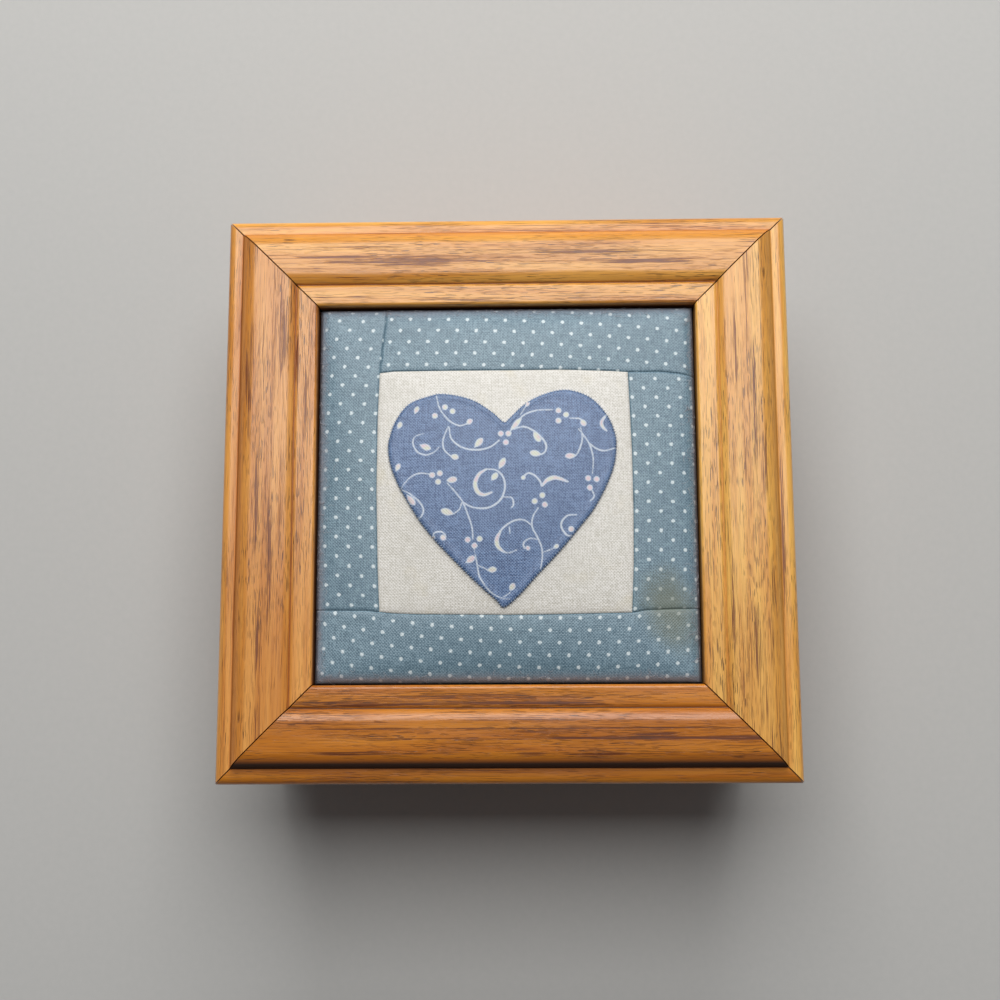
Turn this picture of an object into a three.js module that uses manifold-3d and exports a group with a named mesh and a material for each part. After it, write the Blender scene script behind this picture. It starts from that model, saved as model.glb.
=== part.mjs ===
// A quilt-top trinket box: a mitred oak box with a lift-off lid. The lid is a frame of
// oak picture moulding that holds a padded patchwork square with a heart sewn on it.
// Millimetres, +Z up, origin at the bottom centre; +Y is the far side of the box.

import * as THREE from 'three';
import { mergeVertices } from 'three/addons/utils/BufferGeometryUtils.js';
import Module from 'manifold-3d';

// Lid frame: the moulding's width, its height and the steps across it, outside to inside.
// Each drop is measured down from the crown of the wide face.
const lidSize = 152.4;
const railWidth = 25.4;
const railHeight = 17.5;
const outerEdgeRadius = 1.3;
const filletWidth = 4.3;
const filletDrop = 4.3;
const quirkStep = 1.1;
const shoulderWidth = 3.7;
const shoulderDrop = 0.6;
const rollWidth = 2.7;
const rollTopDrop = 0.4;
const quirkDepth = 0.7;
const quirkWidth = 0.9;
const beadWidth = 6.2;
const beadDrop = 1.5;
const sightRadius = 1.5;
const lipThickness = 6.5;
const rabbetWidth = 5.0;

// Box body: four mitred sides round a bottom panel
const lidOverhang = 6.2;
const bodyHeight = 46;
const sideThickness = 9.5;
const easedEdge = 1.2;
const bottomThickness = 6;

// The board that closes the lid from below and drops between the box's sides
const boardThickness = 6;
const boardChamfer = 1;
const boardClearance = 0.8;

// Padded patchwork: cloth heights are measured from the top of the moulding's inner bead
const tuckDepth = 3.6;
const shoulderDepth = 0.9;
const crownRise = 2.2;
const clothRoll = 5.0;
const clothClearance = 0.4;
const marginClearance = 0.3;
const stripLeft = 17.0;
const stripRight = 18.4;
const stripBack = 18.6;
const stripFront = 18.6;
const seamDepth = 0.7;
const seamSpread = 1.5;

// Heart sewn on the centre patch: what it leaves free at each side, above and below
const heartSideMargin = 2.9;
const heartTopMargin = 6.3;
const heartFootMargin = 1.2;
const heartThickness = 0.8;

// Working gaps between pieces that meet at a mitre or on a curved face
const mitreGap = 0.3;
const seamGap = 0.3;
const heartGap = 0.3;
const panelClearance = 0.3;

// How finely the cloth is drawn: cells of its grid between two seams and along a roll, and
// steps along each curve of the heart; grid lines closer than the last are one
const clothCells = 9;
const rollCells = 4;
const heartSteps = 10;
const closestLines = 0.05;

const beadTop = railHeight - beadDrop;
const rabbetHeight = beadTop - lipThickness;
const sightHalf = lidSize / 2 - railWidth;
const bodyHalf = lidSize / 2 - lidOverhang;
const bottomRabbet = sideThickness / 2;

const wasm = await Module();
wasm.setup();

// A closed three.js geometry as a solid that can be cut and joined
function solid(geometry) {
  const bare = geometry.clone();
  bare.deleteAttribute('normal');
  bare.deleteAttribute('uv');
  const merged = mergeVertices(bare, 1e-4);
  return new wasm.Manifold(new wasm.Mesh({
    numProp: 3,
    vertProperties: new Float32Array(merged.attributes.position.array),
    triVerts: new Uint32Array(merged.index.array),
  }));
}

// The solid back as a geometry with flat shaded faces
function geometryOf(body) {
  const { vertProperties, triVerts } = body.getMesh();
  const geometry = new THREE.BufferGeometry();
  geometry.setAttribute('position', new THREE.BufferAttribute(vertProperties, 3));
  geometry.setIndex(new THREE.BufferAttribute(triVerts, 1));
  const faceted = geometry.toNonIndexed();
  faceted.computeVertexNormals();
  return faceted;
}

function block(width, depth, low, high) {
  const geometry = new THREE.BoxGeometry(width, depth, high - low);
  geometry.translate(0, 0, (low + high) / 2);
  return geometry;
}

// Section of the moulding: x runs inwards from the outer edge, y up from the underside.
// From the sight edge outwards: rounded bead, quirk, roll, wide crowned face, rounded
// shoulder, quirk, flat fillet and the rounded outer edge.
function mouldingProfile() {
  const filletTop = railHeight - filletDrop;
  const shoulderFoot = filletTop + quirkStep;
  const shoulderTop = railHeight - shoulderDrop;
  const shoulderEnd = filletWidth + shoulderWidth;
  const rollTop = railHeight - rollTopDrop;
  const quirk = railWidth - beadWidth;
  const faceEnd = quirk - rollWidth;
  const quirkFloor = beadTop - quirkDepth;
  const faceMiddle = (shoulderEnd + faceEnd) / 2;
  const faceBow = 2 * railHeight - (shoulderTop + rollTop) / 2;
  const shape = new THREE.Shape();
  shape.moveTo(0, 0);
  shape.lineTo(railWidth - rabbetWidth, 0);
  shape.lineTo(railWidth - rabbetWidth, rabbetHeight);
  shape.lineTo(railWidth, rabbetHeight);
  shape.lineTo(railWidth, beadTop - sightRadius);
  shape.absarc(railWidth - sightRadius, beadTop - sightRadius, sightRadius, 0, Math.PI / 2);
  shape.lineTo(quirk + quirkWidth, beadTop);
  shape.quadraticCurveTo(quirk, beadTop, quirk, quirkFloor);
  shape.absellipse(faceEnd, quirkFloor, rollWidth, rollTop - quirkFloor, 0, Math.PI / 2);
  shape.quadraticCurveTo(faceMiddle, faceBow, shoulderEnd, shoulderTop);
  shape.absellipse(
    shoulderEnd, shoulderFoot, shoulderWidth, shoulderTop - shoulderFoot, Math.PI / 2, Math.PI,
  );
  shape.lineTo(filletWidth, filletTop);
  shape.lineTo(outerEdgeRadius, filletTop);
  shape.absarc(
    outerEdgeRadius, filletTop - outerEdgeRadius, outerEdgeRadius, Math.PI / 2, Math.PI,
  );
  return shape;
}

// Section of a box side, drawn the same way: eased outer edges, and a rabbet at the foot
// of the inner face for the bottom panel.
function sideProfile() {
  const shape = new THREE.Shape();
  shape.moveTo(easedEdge, 0);
  shape.lineTo(sideThickness - bottomRabbet, 0);
  shape.lineTo(sideThickness - bottomRabbet, bottomThickness);
  shape.lineTo(sideThickness, bottomThickness);
  shape.lineTo(sideThickness, bodyHeight);
  shape.lineTo(easedEdge, bodyHeight);
  shape.absarc(easedEdge, bodyHeight - easedEdge, easedEdge, Math.PI / 2, Math.PI);
  shape.lineTo(0, easedEdge);
  shape.absarc(easedEdge, easedEdge, easedEdge, Math.PI, 1.5 * Math.PI);
  return shape;
}

// A bar of that section along the near side of a square, its ends cut at 45 degrees
function mitredBar(profile, squareHalf) {
  const cut = mitreGap / Math.SQRT2;
  const bar = new THREE.ExtrudeGeometry(profile, {
    depth: 2, bevelEnabled: false, curveSegments: 8,
  });
  const place = bar.attributes.position;
  for (let i = 0; i < place.count; i += 1) {
    const inwards = place.getX(i);
    const up = place.getY(i);
    const end = place.getZ(i) - 1;
    place.setXYZ(i, end * (squareHalf - inwards - cut), inwards - squareHalf, up);
  }
  bar.computeVertexNormals();
  return bar;
}

const centreLeft = stripLeft - sightHalf;
const centreRight = sightHalf - stripRight;
const centreNear = stripFront - sightHalf;
const centreFar = sightHalf - stripBack;

// Seams, each from one end to the other. The strips were sewn on one after another, right,
// top, left and bottom, so each butts against the one before it.
const clothHalf = sightHalf - clothClearance;
const seams = [
  [centreRight, centreNear, centreRight, centreFar],
  [centreLeft, centreFar, clothHalf, centreFar],
  [centreLeft, centreNear, centreLeft, clothHalf],
  [-clothHalf, centreNear, clothHalf, centreNear],
];

function seamDistance(x, y) {
  return Math.min(...seams.map(([x0, y0, x1, y1]) => Math.hypot(
    x - THREE.MathUtils.clamp(x, x0, x1),
    y - THREE.MathUtils.clamp(y, y0, y1),
  )));
}

// Height of the cloth above the lid's underside: low where it tucks under the sight edge,
// a quarter round up to a shoulder, then a soft crown, drawn down along every seam.
function clothHeight(x, y) {
  const rise = (t) => {
    const left = 1 - THREE.MathUtils.clamp((clothHalf - Math.abs(t)) / clothRoll, 0, 1);
    return Math.sqrt(1 - left * left);
  };
  const bow = (t) => 1 - (t / clothHalf) ** 2;
  const roll = rise(x) * rise(y);
  const crown = bow(x) * bow(y);
  const groove = Math.exp(-((seamDistance(x, y) / seamSpread) ** 2));
  return beadTop - tuckDepth + (tuckDepth - shoulderDepth) * roll
    + (shoulderDepth + crownRise) * crown - seamDepth * groove * roll;
}

// Places of the grid lines across the cloth: close together on the rolls and at the seams
function gridLines(seamLow, seamHigh) {
  const lines = [-clothHalf, clothHalf];
  for (let i = 1; i <= rollCells; i += 1) {
    const inwards = clothRoll * (i / rollCells) ** 1.5;
    lines.push(-clothHalf + inwards, clothHalf - inwards);
  }
  for (let i = 0; i <= clothCells; i += 1) {
    lines.push(THREE.MathUtils.lerp(seamLow, seamHigh, i / clothCells));
  }
  for (const seam of [seamLow, seamHigh]) lines.push(seam - seamSpread, seam + seamSpread);
  lines.push((seamLow - clothHalf) / 2, (seamHigh + clothHalf) / 2);
  lines.sort((a, b) => a - b);
  return lines.filter((line, i) => i === 0 || line - lines[i - 1] > closestLines);
}

// A slab over the grid whose faces follow two height functions
function slabOver(xs, ys, underside, topside) {
  const slab = new THREE.BoxGeometry(1, 1, 1, xs.length - 1, ys.length - 1, 1);
  const place = slab.attributes.position;
  for (let i = 0; i < place.count; i += 1) {
    const x = xs[Math.round((place.getX(i) + 0.5) * (xs.length - 1))];
    const y = ys[Math.round((place.getY(i) + 0.5) * (ys.length - 1))];
    place.setXYZ(i, x, y, place.getZ(i) > 0 ? topside(x, y) : underside(x, y));
  }
  return solid(slab);
}

const clothXs = gridLines(centreLeft, centreRight);
const clothYs = gridLines(centreNear, centreFar);

// The whole pad: the cloth's crown within the sight edge, and the margin under the lip
function wholePad() {
  const marginHalf = sightHalf + rabbetWidth - marginClearance;
  const margin = block(
    2 * marginHalf, 2 * marginHalf, 0, rabbetHeight - marginClearance,
  );
  const crown = slabOver(clothXs, clothYs, () => rabbetHeight / 2, clothHeight);
  return crown.add(solid(margin));
}

// A patch is what the pad holds between four seam lines, less half the gap of each
function patch(pad, xLow, xHigh, yLow, yHigh) {
  const reach = lidSize;
  const half = seamGap / 2;
  const [x0, x1] = [Math.max(xLow + half, -reach), Math.min(xHigh - half, reach)];
  const [y0, y1] = [Math.max(yLow + half, -reach), Math.min(yHigh - half, reach)];
  const cutter = new THREE.BoxGeometry(x1 - x0, y1 - y0, 4 * railHeight);
  cutter.translate((x0 + x1) / 2, (y0 + y1) / 2, 0);
  return geometryOf(pad.intersect(solid(cutter)));
}

// Outline of the heart: its right side from the cleft over the lobe and down to the tip,
// and the same points mirrored. Its widest place and its cleft are shares of its height.
function heartOutline() {
  const half = (centreRight - centreLeft) / 2 - heartSideMargin;
  const top = centreFar - heartTopMargin;
  const tip = centreNear + heartFootMargin;
  const shoulder = 0.26 * (top - tip);
  const wide = top - shoulder;
  const cleft = top - 0.14 * (top - tip);
  const lobe = 0.53 * half;
  const flank = wide - tip;
  const side = new THREE.Path();
  side.moveTo(0, cleft);
  side.bezierCurveTo(
    0.12 * half, cleft + 0.45 * (top - cleft), 0.32 * half, top, lobe, top,
  );
  side.bezierCurveTo(
    lobe + 0.55 * (half - lobe), top, half, wide + 0.55 * shoulder, half, wide,
  );
  side.bezierCurveTo(half, wide - 0.31 * flank, 0.55 * half, tip + 0.41 * flank, 0, tip);
  const right = side.getPoints(heartSteps);
  const left = right.slice(1, -1).reverse().map(({ x, y }) => new THREE.Vector2(-x, y));
  return new THREE.Shape([...right, ...left]);
}

// The heart lies on the cloth and follows its crown
function heart() {
  const prism = new THREE.ExtrudeGeometry(heartOutline(), {
    depth: 4 * railHeight, bevelEnabled: false,
  });
  prism.translate((centreLeft + centreRight) / 2, 0, 0);
  const skin = slabOver(
    clothXs, clothYs,
    (x, y) => clothHeight(x, y) + heartGap,
    (x, y) => clothHeight(x, y) + heartGap + heartThickness,
  );
  return geometryOf(skin.intersect(solid(prism)));
}

// A board with its lower edges chamfered, so that the lid finds its way into the box
function locatingBoard() {
  const half = bodyHalf - sideThickness - boardClearance;
  const board = block(2 * half, 2 * half, -boardThickness, 0);
  const taper = new THREE.CylinderGeometry(
    (half + boardThickness - boardChamfer) * Math.SQRT2, (half - boardChamfer) * Math.SQRT2,
    boardThickness, 4,
  );
  taper.rotateX(Math.PI / 2);
  taper.rotateZ(Math.PI / 4);
  taper.translate(0, 0, -boardThickness / 2);
  return geometryOf(solid(board).intersect(solid(taper)));
}

const railOak = new THREE.MeshStandardMaterial({
  color: 0xb5793f, roughness: 0.38, metalness: 0,
});
const boxOak = new THREE.MeshStandardMaterial({
  color: 0xad7740, roughness: 0.45, metalness: 0,
});
const plainBoard = new THREE.MeshStandardMaterial({
  color: 0xc09a68, roughness: 0.6, metalness: 0,
});
const dottedCotton = new THREE.MeshStandardMaterial({
  color: 0x7b909d, roughness: 0.92, metalness: 0,
});
const creamCotton = new THREE.MeshStandardMaterial({
  color: 0xd8d3c6, roughness: 0.92, metalness: 0,
});
const printedCotton = new THREE.MeshStandardMaterial({
  color: 0x6f84a2, roughness: 0.9, metalness: 0,
});

function piece(name, geometry, material) {
  const mesh = new THREE.Mesh(geometry, material);
  mesh.name = name;
  return mesh;
}

const sideNames = ['front', 'right', 'back', 'left'];

// Box: four sides and the bottom panel that sits in their rabbet
const box = new THREE.Group();
sideNames.forEach((side, turn) => {
  const wall = piece(`box_side_${side}`, mitredBar(sideProfile(), bodyHalf), boxOak);
  wall.rotation.z = (turn * Math.PI) / 2;
  box.add(wall);
});
const bottomHalf = bodyHalf - sideThickness + bottomRabbet - panelClearance;
box.add(piece(
  'box_bottom', block(2 * bottomHalf, 2 * bottomHalf, 0, bottomThickness), plainBoard,
));

// Lid: the moulding, the patchwork in its rabbet and the board below, resting on the sides
const lid = new THREE.Group();
lid.position.z = bodyHeight;
sideNames.forEach((side, turn) => {
  const rail = piece(`lid_rail_${side}`, mitredBar(mouldingProfile(), lidSize / 2), railOak);
  rail.rotation.z = (turn * Math.PI) / 2;
  lid.add(rail);
});
const pad = wholePad();
const far = Infinity;
lid.add(
  piece('quilt_centre', patch(pad, centreLeft, centreRight, centreNear, centreFar), creamCotton),
  piece('quilt_strip_right', patch(pad, centreRight, far, centreNear, centreFar), dottedCotton),
  piece('quilt_strip_back', patch(pad, centreLeft, far, centreFar, far), dottedCotton),
  piece('quilt_strip_left', patch(pad, -far, centreLeft, centreNear, far), dottedCotton),
  piece('quilt_strip_front', patch(pad, -far, far, -far, centreNear), dottedCotton),
  piece('heart_applique', heart(), printedCotton),
  piece('lid_board', locatingBoard(), plainBoard),
);

const trinketBox = new THREE.Group();
trinketBox.add(box, lid);
export default trinketBox;
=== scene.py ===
import math

import bpy
import numpy as np
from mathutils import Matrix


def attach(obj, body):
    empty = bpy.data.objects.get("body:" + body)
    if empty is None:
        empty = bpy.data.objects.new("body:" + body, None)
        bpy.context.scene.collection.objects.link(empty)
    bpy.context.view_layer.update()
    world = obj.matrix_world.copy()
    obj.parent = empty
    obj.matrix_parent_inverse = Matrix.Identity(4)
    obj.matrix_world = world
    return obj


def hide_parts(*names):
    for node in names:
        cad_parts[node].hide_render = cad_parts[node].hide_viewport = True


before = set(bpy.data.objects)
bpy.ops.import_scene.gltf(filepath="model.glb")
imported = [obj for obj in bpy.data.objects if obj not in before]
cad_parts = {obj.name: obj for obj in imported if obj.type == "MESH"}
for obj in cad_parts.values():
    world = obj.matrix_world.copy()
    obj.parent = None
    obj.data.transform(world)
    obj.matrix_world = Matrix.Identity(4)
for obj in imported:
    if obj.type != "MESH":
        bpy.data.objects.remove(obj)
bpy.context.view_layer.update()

# The box: four oak sides round a plywood bottom, glued up and rubbed down. The solids are right
# as they are, so this section only gives them their oak and plywood. The maths of every finish
# is written in millimetres of the piece's own place.


class Wire:
    """A socket of a finish. Arithmetic on it adds Math nodes."""

    def __init__(self, finish, socket):
        self.finish, self.socket = finish, socket

    def maths(self, operation, *others):
        sockets = dict(enumerate((self, *others)))
        return self.finish.node("Math", {"operation": operation}, sockets)

    def __add__(self, other):
        return self.maths("ADD", other)

    def __sub__(self, other):
        return self.maths("SUBTRACT", other)

    def __rsub__(self, other):
        return self.maths("MULTIPLY_ADD", -1.0, other)

    def __mul__(self, other):
        return self.maths("MULTIPLY", other)

    def __truediv__(self, other):
        return self.maths("DIVIDE", other)

    def __pow__(self, other):
        return self.maths("POWER", other)

    def fading(self):
        """e to the minus of it: 1 where it is 0, and dying away as it grows."""
        return (self * -1.0).maths("EXPONENT")

    __radd__ = __add__
    __rmul__ = __mul__

    def rise(self, low, high):
        """0 below low, 1 above high, and a smooth step between them."""
        return self.finish.node(
            "MapRange",
            {"interpolation_type": "SMOOTHSTEP"},
            {"Value": self, "From Min": low, "From Max": high},
        )


class Finish:
    """A material with one Principled shader. node() adds any other node to it."""

    def __init__(self, name, **constants):
        self.material = bpy.data.materials.new(name)
        self.material.use_nodes = True
        self.tree = self.material.node_tree
        self.shader = self.tree.nodes["Principled BSDF"]
        for socket, value in constants.items():
            self.shader.inputs[socket.replace("_", " ")].default_value = value

    def join(self, socket, value):
        if isinstance(value, Wire):
            self.tree.links.new(value.socket, socket)
        else:
            socket.default_value = value

    def node(self, kind, settings, sockets, output=0):
        made = self.tree.nodes.new("ShaderNode" + kind)
        for setting, value in settings.items():
            setattr(made, setting, value)
        for socket, value in sockets.items():
            self.join(made.inputs[socket], value)
        return Wire(self, made.outputs[output])

    def blend(self, mask, first, second):
        """The first colour where mask is 0, the second where it is 1."""
        sockets = {0: mask, 6: first, 7: second}
        return self.node("Mix", {"data_type": "RGBA"}, sockets, output=2)

    def speckle(self, place, stretch, detail=2.0, roughness=0.5):
        """Smooth noise from 0 to 1. Its grains are stretch millimetres long, one length an axis."""
        sizes = {0: place, 1: tuple(1 / size for size in stretch)}
        scaled = self.node("VectorMath", {"operation": "MULTIPLY"}, sizes)
        sockets = {"Vector": scaled, "Scale": 1.0, "Detail": detail, "Roughness": roughness}
        return self.node("TexNoise", {"noise_dimensions": "3D"}, sockets)

    def millimetres(self, turn=0.0, shift=(0, 0, 0)):
        """The place in millimetres, turned about the upright by turn degrees, then shifted."""
        return self.node(
            "Mapping",
            {},
            {
                "Vector": self.node("TexCoord", {}, {}, output="Object"),
                "Location": shift,
                "Rotation": (0, 0, math.radians(turn)),
                "Scale": (1000, 1000, 1000),
            },
        )

    def written(self, attribute):
        """The number that note() wrote at each point."""
        return self.node("Attribute", {"attribute_name": attribute}, {}, "Fac")

    def parts(self, vector):
        split = self.node("SeparateXYZ", {}, {"Vector": vector})
        outputs = split.socket.node.outputs
        return tuple(Wire(self, outputs[axis]) for axis in "XYZ")

    def wear(self, colour, roughness=None, relief=None, depth=0.1):
        """Joins the worked-out colour, roughness and relief (0 to 1, depth millimetres deep)."""
        self.join(self.shader.inputs["Base Color"], colour)
        if roughness is not None:
            self.join(self.shader.inputs["Roughness"], roughness)
        if relief is not None:
            sockets = {"Height": relief, "Distance": depth / 1000, "Strength": 1.0}
            bumps = self.node("Bump", {}, sockets, "Normal")
            self.join(self.shader.inputs["Normal"], bumps)
        return self.material


def tone(red, green, blue):
    """A colour given on the 0 to 255 scale, as the shader wants it."""
    scale = (np.array([red, green, blue]) / 255.0).tolist()
    light = [c / 12.92 if c <= 0.04045 else ((c + 0.055) / 1.055) ** 2.4 for c in scale]
    return (*light, 1.0)


def oak(
    name, turn, shift, tree, pale, warm, pores, streaks=(), eye=None, gloss=0.3,
    shade_and_grime=(0.6, (104, 46, 16)), dull=None, stained=(208, 116, 34),
):
    """Varnished oak whose grain runs along the turned first axis.

    A growth ring is a step of the distance from the tree's middle (a place beside and below the
    piece), bent by slow noise and tapered along the grain. Long thin pores crowd at each ring's
    start. Streaks are places (along, across, half length, half width) where dark pores bunch.
    Painted shade and some grime, a strength and a colour, lie in the recesses, darkest where a
    face turns from the light. On a moulding the varnish is whole on the fillet, up to 4 mm across,
    and worn off the shoulder, which ends dull mm across. Where it is worn or has pooled, the
    stained colour shows.
    """
    wood = Finish(
        name, Roughness=gloss, Specular_IOR_Level=0.5, Coat_Weight=0.5, Coat_Roughness=0.22
    )
    place = wood.millimetres(turn, shift)
    along, across, up = wood.parts(place)
    beside, below, spacing, taper = tree
    sway = wood.speckle(place, (70, 16, 16), 1.0) - 0.5
    distance = ((across - beside) ** 2 + (up - below) ** 2) ** 0.5
    distance = distance + sway * 5.0 + along * taper
    if eye:
        far = ((along - eye[0]) / eye[2]) ** 2 + ((across - eye[1]) / eye[3]) ** 2
        distance = distance + 2.2 * spacing * far.fading()
    growth = (distance / spacing).maths("FRACT")
    early = growth.rise(0.0, 0.14) * (1 - growth.rise(0.2, 0.75))
    fibre = wood.speckle(place, (9, 0.15, 0.15), 2.0)
    band = wood.speckle(place, (60, 2.6, 2.6), 2.0)
    patch = wood.speckle(place, (34, 9, 9), 1.0)
    crowd = 0.07 * early
    for mid_along, mid_across, half_long, half_wide in streaks:
        lengthwise = ((along - mid_along) / half_long) ** 4
        far = lengthwise + ((across - mid_across) / half_wide) ** 2
        crowd = crowd + 0.18 * far.fading()
    spread = crowd + (band - 0.5) * 0.14
    streak = (wood.speckle(place, (28, 0.24, 0.24), 2.0, 0.6) + spread).rise(0.66, 0.74)
    dash = (wood.speckle(place, (6, 0.15, 0.15), 1.0) + spread).rise(0.69, 0.78)
    pore = wood.speckle(place, (3.6, 0.16, 0.16), 0.0).rise(0.64, 0.7) * patch.rise(0.3, 0.6)
    dashes = streak.maths("MAXIMUM", dash * 0.8)
    colour = wood.blend(band.rise(0.3, 0.7), pale, warm)
    colour = wood.blend(early * 0.22 * patch.rise(0.2, 0.7), colour, tone(156, 92, 46))
    colour = wood.blend((fibre - 0.5).rise(-0.02, 0.24) * 0.42, colour, pores)
    colour = wood.blend(dashes * 0.94, colour, pores)
    colour = wood.blend(pore * 0.8, colour, tone(72, 40, 24))
    recess = wood.written("recess")
    rough = gloss + 0.16 * dashes + 0.1 * (fibre - 0.5) + 0.25 * recess
    amber = recess.rise(0.05, 0.5) * 0.6
    if dull:
        fillet = 1 - across.rise(3.9, 4.4)
        varnish = 0.5 * across.rise(dull - 2.5, dull).maths("MAXIMUM", fillet)
        wood.join(wood.shader.inputs["Coat Weight"], varnish)
        rough = rough + 0.25 - 0.5 * varnish
        amber = amber.maths("MAXIMUM", 0.45 - 0.9 * varnish)
    colour = wood.blend(amber, colour, tone(*stained))
    # Painted shade, with some grime: the recesses, the opening's inner face and the front
    # shoulder's foot are darkened.
    colour = wood.blend(recess.rise(0.2, 0.85) * shade_and_grime[0], colour, tone(*shade_and_grime[1]))
    relief = 1 - 0.75 * dashes.maths("MAXIMUM", pore) - 0.25 * fibre
    return wood.wear(colour, rough, relief, 0.05)


def dress(node, finish):
    """Puts a finish on a whole solid."""
    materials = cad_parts[node].data.materials
    for slot in range(len(materials)):
        materials[slot] = finish


PALE_OAK, DARK_OAK, PORES = tone(212, 142, 66), tone(194, 120, 50), tone(112, 52, 28)
for side, turn in (("front", 0), ("right", -90), ("back", 180), ("left", 90)):
    # Each board is cut from another place along the tree.
    boards = oak(
        "box_oak_" + side, turn, (31 * turn, 0, 0), (18, -40, 3.4, 0.03),
        PALE_OAK, DARK_OAK, PORES,
    )
    dress("box_side_" + side, boards)


def plywood(name):
    """Birch ply: broad pale rotary-cut figure, level rings of slow noise, with fine dark flecks."""
    ply = Finish(name, Roughness=0.55, Specular_IOR_Level=0.4)
    place = ply.millimetres()
    figure = ply.speckle(place, (60, 11, 60), 1.0) * 9.0
    line = figure.maths("FRACT")
    colour = ply.blend(line * 0.5, tone(214, 180, 132), tone(186, 143, 94))
    fleck = ply.speckle(place, (3.2, 0.3, 3.2), 2.0).rise(0.6, 0.72)
    colour = ply.blend(fleck * 0.5, colour, tone(120, 78, 44))
    return ply.wear(colour, 0.5 + 0.2 * fleck, 1 - fleck, 0.04)


panel = plywood("panel_wood")
dress("box_bottom", panel)
dress("lid_board", panel)


# The lid's frame: four lengths of one oak picture moulding, mitred and glued. The moulding has a
# flat fillet, a steep shoulder, a broad crowned face, a roll, and a bead beside the sight edge.

LID_HALF, LID_UNDER, MITRE_GAP = 76.2, 46.0, 0.3
RAIL_STATIONS, FINE_STEP, HIDDEN_STEP = 60, 0.16, 1.4


def arc(start, middle, end, steps=24):
    """A quadratic curve from start to end, pulled towards middle."""
    t = np.linspace(0, 1, steps)[:, None]
    start, middle, end = (np.array(p, float) for p in (start, middle, end))
    return (1 - t) ** 2 * start + 2 * t * (1 - t) * middle + t**2 * end


def ellipse_quarter(start, end, rising, steps=24):
    """A quarter of an ellipse between two corners; rising ones leave the start upright."""
    t = np.linspace(0, np.pi / 2, steps)[:, None]
    start, end = np.array(start, float), np.array(end, float)
    s, c = (np.sin(t), 1 - np.cos(t)) if rising else (1 - np.cos(t), np.sin(t))
    return start + (end - start) * np.hstack([c, s])


def lengths(line):
    """How far along a broken line each of its points is."""
    return np.r_[0, np.cumsum(np.hypot(*np.diff(line, axis=0).T))]


def moulding_section():
    """The moulding's outline and its recesses.

    A point is (in from the outer edge, up from the lid's underside). The corners are the part's
    own. They are joined by arcs, spaced evenly along the visible part, and softened by a running
    average, as rubbing down softens them. A recess is the height that a wider running average
    lies above the outline, or the depth inside the opening.
    """
    shown = np.vstack(
        [
            [[0, 3.0], [0, 11.3]],
            ellipse_quarter((0, 11.3), (2.2, 13.2), True),
            [[4.2, 13.3], [4.35, 14.2]],
            arc((4.35, 14.2), (5.5, 16.9), (8.2, 17.2)),
            arc((8.2, 17.2), (12.0, 17.45), (16.2, 17.4)),
            arc((16.2, 17.4), (17.8, 17.3), (19.1, 16.4)),
            [[19.3, 15.9]],
            arc((19.5, 15.95), (19.7, 16.35), (20.3, 16.4)),
            [[24.6, 16.4]],
            ellipse_quarter((24.6, 16.4), (25.4, 15.4), False),
            [[25.4, 10.2]],
        ]
    )
    hidden = np.array([[25.4, 10.2], [25.4, 9.5], [20.4, 9.5], [20.4, 0], [0, 0], [0, 3.0]])

    def spaced(line, step):
        length = lengths(line)
        keep = np.r_[True, np.diff(length) > 1e-9]
        line, length = line[keep], length[keep]
        at = np.linspace(0, length[-1], int(length[-1] / step) + 1)
        return np.stack([np.interp(at, length, line[:, k]) for k in (0, 1)], 1)

    shown = spaced(shown, FINE_STEP)
    kernel = np.hanning(7)[1:-1]
    wide = np.hanning(25)[1:-1]
    soft = shown.copy()
    for k in (0, 1):
        ends = np.pad(shown[:, k], 2, mode="reflect", reflect_type="odd")
        soft[:, k] = np.convolve(ends, kernel / kernel.sum(), "valid")
    ends = np.pad(shown[:, 1], 11, mode="reflect", reflect_type="odd")
    recess = np.convolve(ends, wide / wide.sum(), "valid") - shown[:, 1]
    hidden = np.vstack(
        [spaced(hidden[k : k + 2], HIDDEN_STEP)[1:] for k in range(len(hidden) - 1)]
    )[:-1]
    section = np.vstack([soft, hidden])
    # The opening's inner face counts as a recess, so painted shade darkens it.
    inside = np.clip((15.4 - soft[:, 1]) / 1.6, 0, 1) * (soft[:, 0] > 25)
    recess = np.maximum(np.clip(recess / 0.45, 0, 1), inside)
    return section, np.r_[recess, np.zeros(len(hidden))]


def solid(name, points, *faces):
    """A mesh object from points in millimetres and arrays of faces, each row one face's corners."""
    mesh = bpy.data.meshes.new(name)
    corners = np.concatenate([f.ravel() for f in faces]).astype(np.int32)
    counts = np.concatenate([np.full(len(f), f.shape[1]) for f in faces])
    mesh.vertices.add(len(points))
    mesh.loops.add(len(corners))
    mesh.polygons.add(len(counts))
    mesh.vertices.foreach_set("co", (points / 1000).astype(np.float32).ravel())
    mesh.loops.foreach_set("vertex_index", corners)
    starts = np.r_[0, np.cumsum(counts)[:-1]].astype(np.int32)
    mesh.polygons.foreach_set("loop_start", starts)
    mesh.polygons.foreach_set("use_smooth", counts < 5)
    mesh.update(calc_edges=True)
    piece = bpy.data.objects.new(name, mesh)
    bpy.context.scene.collection.objects.link(piece)
    return piece


def grid(rows, columns, wrap=False):
    """The quads of points numbered row by row; wrap joins the last column to the first."""
    index = np.arange(rows * columns).reshape(rows, columns)
    if wrap:
        index = np.hstack([index, index[:, :1]])
    quads = [index[:-1, :-1], index[:-1, 1:], index[1:, 1:], index[1:, :-1]]
    return np.stack(quads, -1).reshape(-1, 4)


def note(piece, attribute, values):
    """Writes one number a point, which the finish reads by name."""
    layer = piece.data.attributes.new(attribute, "FLOAT", "POINT")
    layer.data.foreach_set("value", np.asarray(values, np.float32).ravel())


section, section_recess = moulding_section()


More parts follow.
